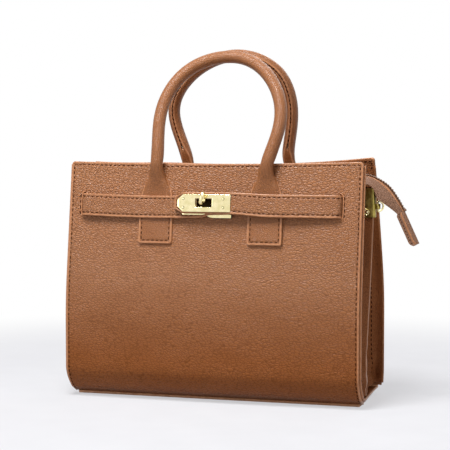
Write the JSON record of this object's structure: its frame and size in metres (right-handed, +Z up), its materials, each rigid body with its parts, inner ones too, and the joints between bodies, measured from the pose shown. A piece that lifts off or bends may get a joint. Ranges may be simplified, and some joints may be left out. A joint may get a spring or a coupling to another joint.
{
  "type": "handbag",
  "caption": "Structured leather handbag with stiff panels, folded side gussets, two rolled handles, a belt with a turning lock and a zip whose end hangs outside.",
  "frame": {"origin": "middle of the base's flat underside, on the floor", "axes": "+X along the width towards the end where the zip's tail hangs, +Y from the front towards the back, +Z up"},
  "size_m": [0.349, 0.135, 0.3382],
  "materials": {
    "caramel_leather": "grained, satin",
    "painted_edge": "edge paint, semi-gloss",
    "lining_cloth": "woven, matt",
    "grey_board": "pressed pulp board, matt",
    "rope_core": "twisted cotton, matt",
    "pale_brass": "polished",
    "zip_coil": "moulded, matt"
  },
  "bodies": {
    "bag_body": {"front_panel": "caramel_leather", "rear_panel": "caramel_leather", "base_panel": "caramel_leather", "base_board": "grey_board", "base_welt_front": "painted_edge", "base_welt_rear": "painted_edge", "gusset_left": "caramel_leather", "gusset_right": "caramel_leather", "lining": "lining_cloth", "chape_front_left": "caramel_leather", "chape_front_right": "caramel_leather", "chape_rear_left": "caramel_leather", "chape_rear_right": "caramel_leather", "strap_anchor_left": "caramel_leather", "strap_anchor_right": "caramel_leather", "lock_base_plate": "pale_brass", "gusset_clip_left": "pale_brass", "gusset_clip_right": "pale_brass", "clip_screw_left": "pale_brass", "clip_screw_right": "pale_brass", "zip_facing_front": "caramel_leather", "zip_facing_rear": "caramel_leather", "zip_end_left": "caramel_leather"},
    "front_handle": {"handle_front": "caramel_leather", "handle_core_front": "rope_core"},
    "rear_handle": {"handle_rear": "caramel_leather", "handle_core_rear": "rope_core"},
    "lock_knob": {"turn_knob": "pale_brass"},
    "left_belt": {"strap_left": "caramel_leather", "lock_plate_left": "pale_brass"},
    "right_belt": {"strap_right": "caramel_leather", "lock_plate_right": "pale_brass", "lock_rivet_1": "pale_brass", "lock_rivet_2": "pale_brass", "lock_rivet_3": "pale_brass", "lock_rivet_4": "pale_brass"},
    "front_flap": {"zip_flap_front": "caramel_leather", "zip_teeth_front": "zip_coil"},
    "rear_flap": {"zip_flap_rear": "caramel_leather", "zip_teeth_rear": "zip_coil"},
    "slider": {"zip_slider": "pale_brass"},
    "pull": {"zip_pull": "pale_brass"},
    "tail": {"zip_tail": "lining_cloth", "zip_tail_chain": "zip_coil", "zip_tab": "caramel_leather"},
    "left_ring": {"d_ring_left": "pale_brass"},
    "right_ring": {"d_ring_right": "pale_brass"}
  },
  "joints": [
    {"name": "front_handle_hinge", "type": "hinge", "parent": "bag_body", "child": "front_handle", "pos_m": [0, -0.0509, 0.20657], "axis": [1, 0, 0], "range_deg": [0, 110]},
    {"name": "rear_handle_hinge", "type": "hinge", "parent": "bag_body", "child": "rear_handle", "pos_m": [0, 0.04589, 0.20678], "axis": [-1, 0, 0], "range_deg": [0, 110]},
    {"name": "lock_knob_turn", "type": "hinge", "parent": "bag_body", "child": "lock_knob", "pos_m": [-0.006, -0.05998, 0.19415], "axis": [0, 0.9912, -0.1327], "range_deg": [0, 90]},
    {"name": "left_belt_hinge", "type": "hinge", "parent": "bag_body", "child": "left_belt", "pos_m": [-0.12698, -0.05172, 0.18849], "axis": [0, -0.1327, -0.9912], "range_deg": [0, 60]},
    {"name": "right_belt_hinge", "type": "hinge", "parent": "bag_body", "child": "right_belt", "pos_m": [0.12207, -0.05195, 0.18849], "axis": [0, 0.1327, 0.9912], "range_deg": [0, 60]},
    {"name": "front_flap_hinge", "type": "hinge", "parent": "bag_body", "child": "front_flap", "pos_m": [0, -0.0349, 0.214], "axis": [1, 0, 0], "range_deg": [0, 75]},
    {"name": "rear_flap_hinge", "type": "hinge", "parent": "bag_body", "child": "rear_flap", "pos_m": [0, 0.0109, 0.214], "axis": [-1, 0, 0], "range_deg": [0, 75]},
    {"name": "slider_run", "type": "slide", "parent": "bag_body", "child": "slider", "axis": [1, 0, 0], "range_m": [0, 0.227]},
    {"name": "pull_hinge", "type": "hinge", "parent": "slider", "child": "pull", "pos_m": [-0.1236, -0.012, 0.2185], "axis": [0, 1, 0], "range_deg": [0, 170]},
    {"name": "tail_hinge", "type": "hinge", "parent": "bag_body", "child": "tail", "pos_m": [0.128, -0.012, 0.214], "axis": [0, -1, 0], "range_deg": [0, 60]},
    {"name": "left_ring_hinge", "type": "hinge", "parent": "bag_body", "child": "left_ring", "pos_m": [-0.1525, -0.01, 0.187], "axis": [0, 0, 1], "range_deg": [0, 144]},
    {"name": "right_ring_hinge", "type": "hinge", "parent": "bag_body", "child": "right_ring", "pos_m": [0.1525, -0.01, 0.187], "axis": [0, 0, -1], "range_deg": [0, 144]}
  ]
}
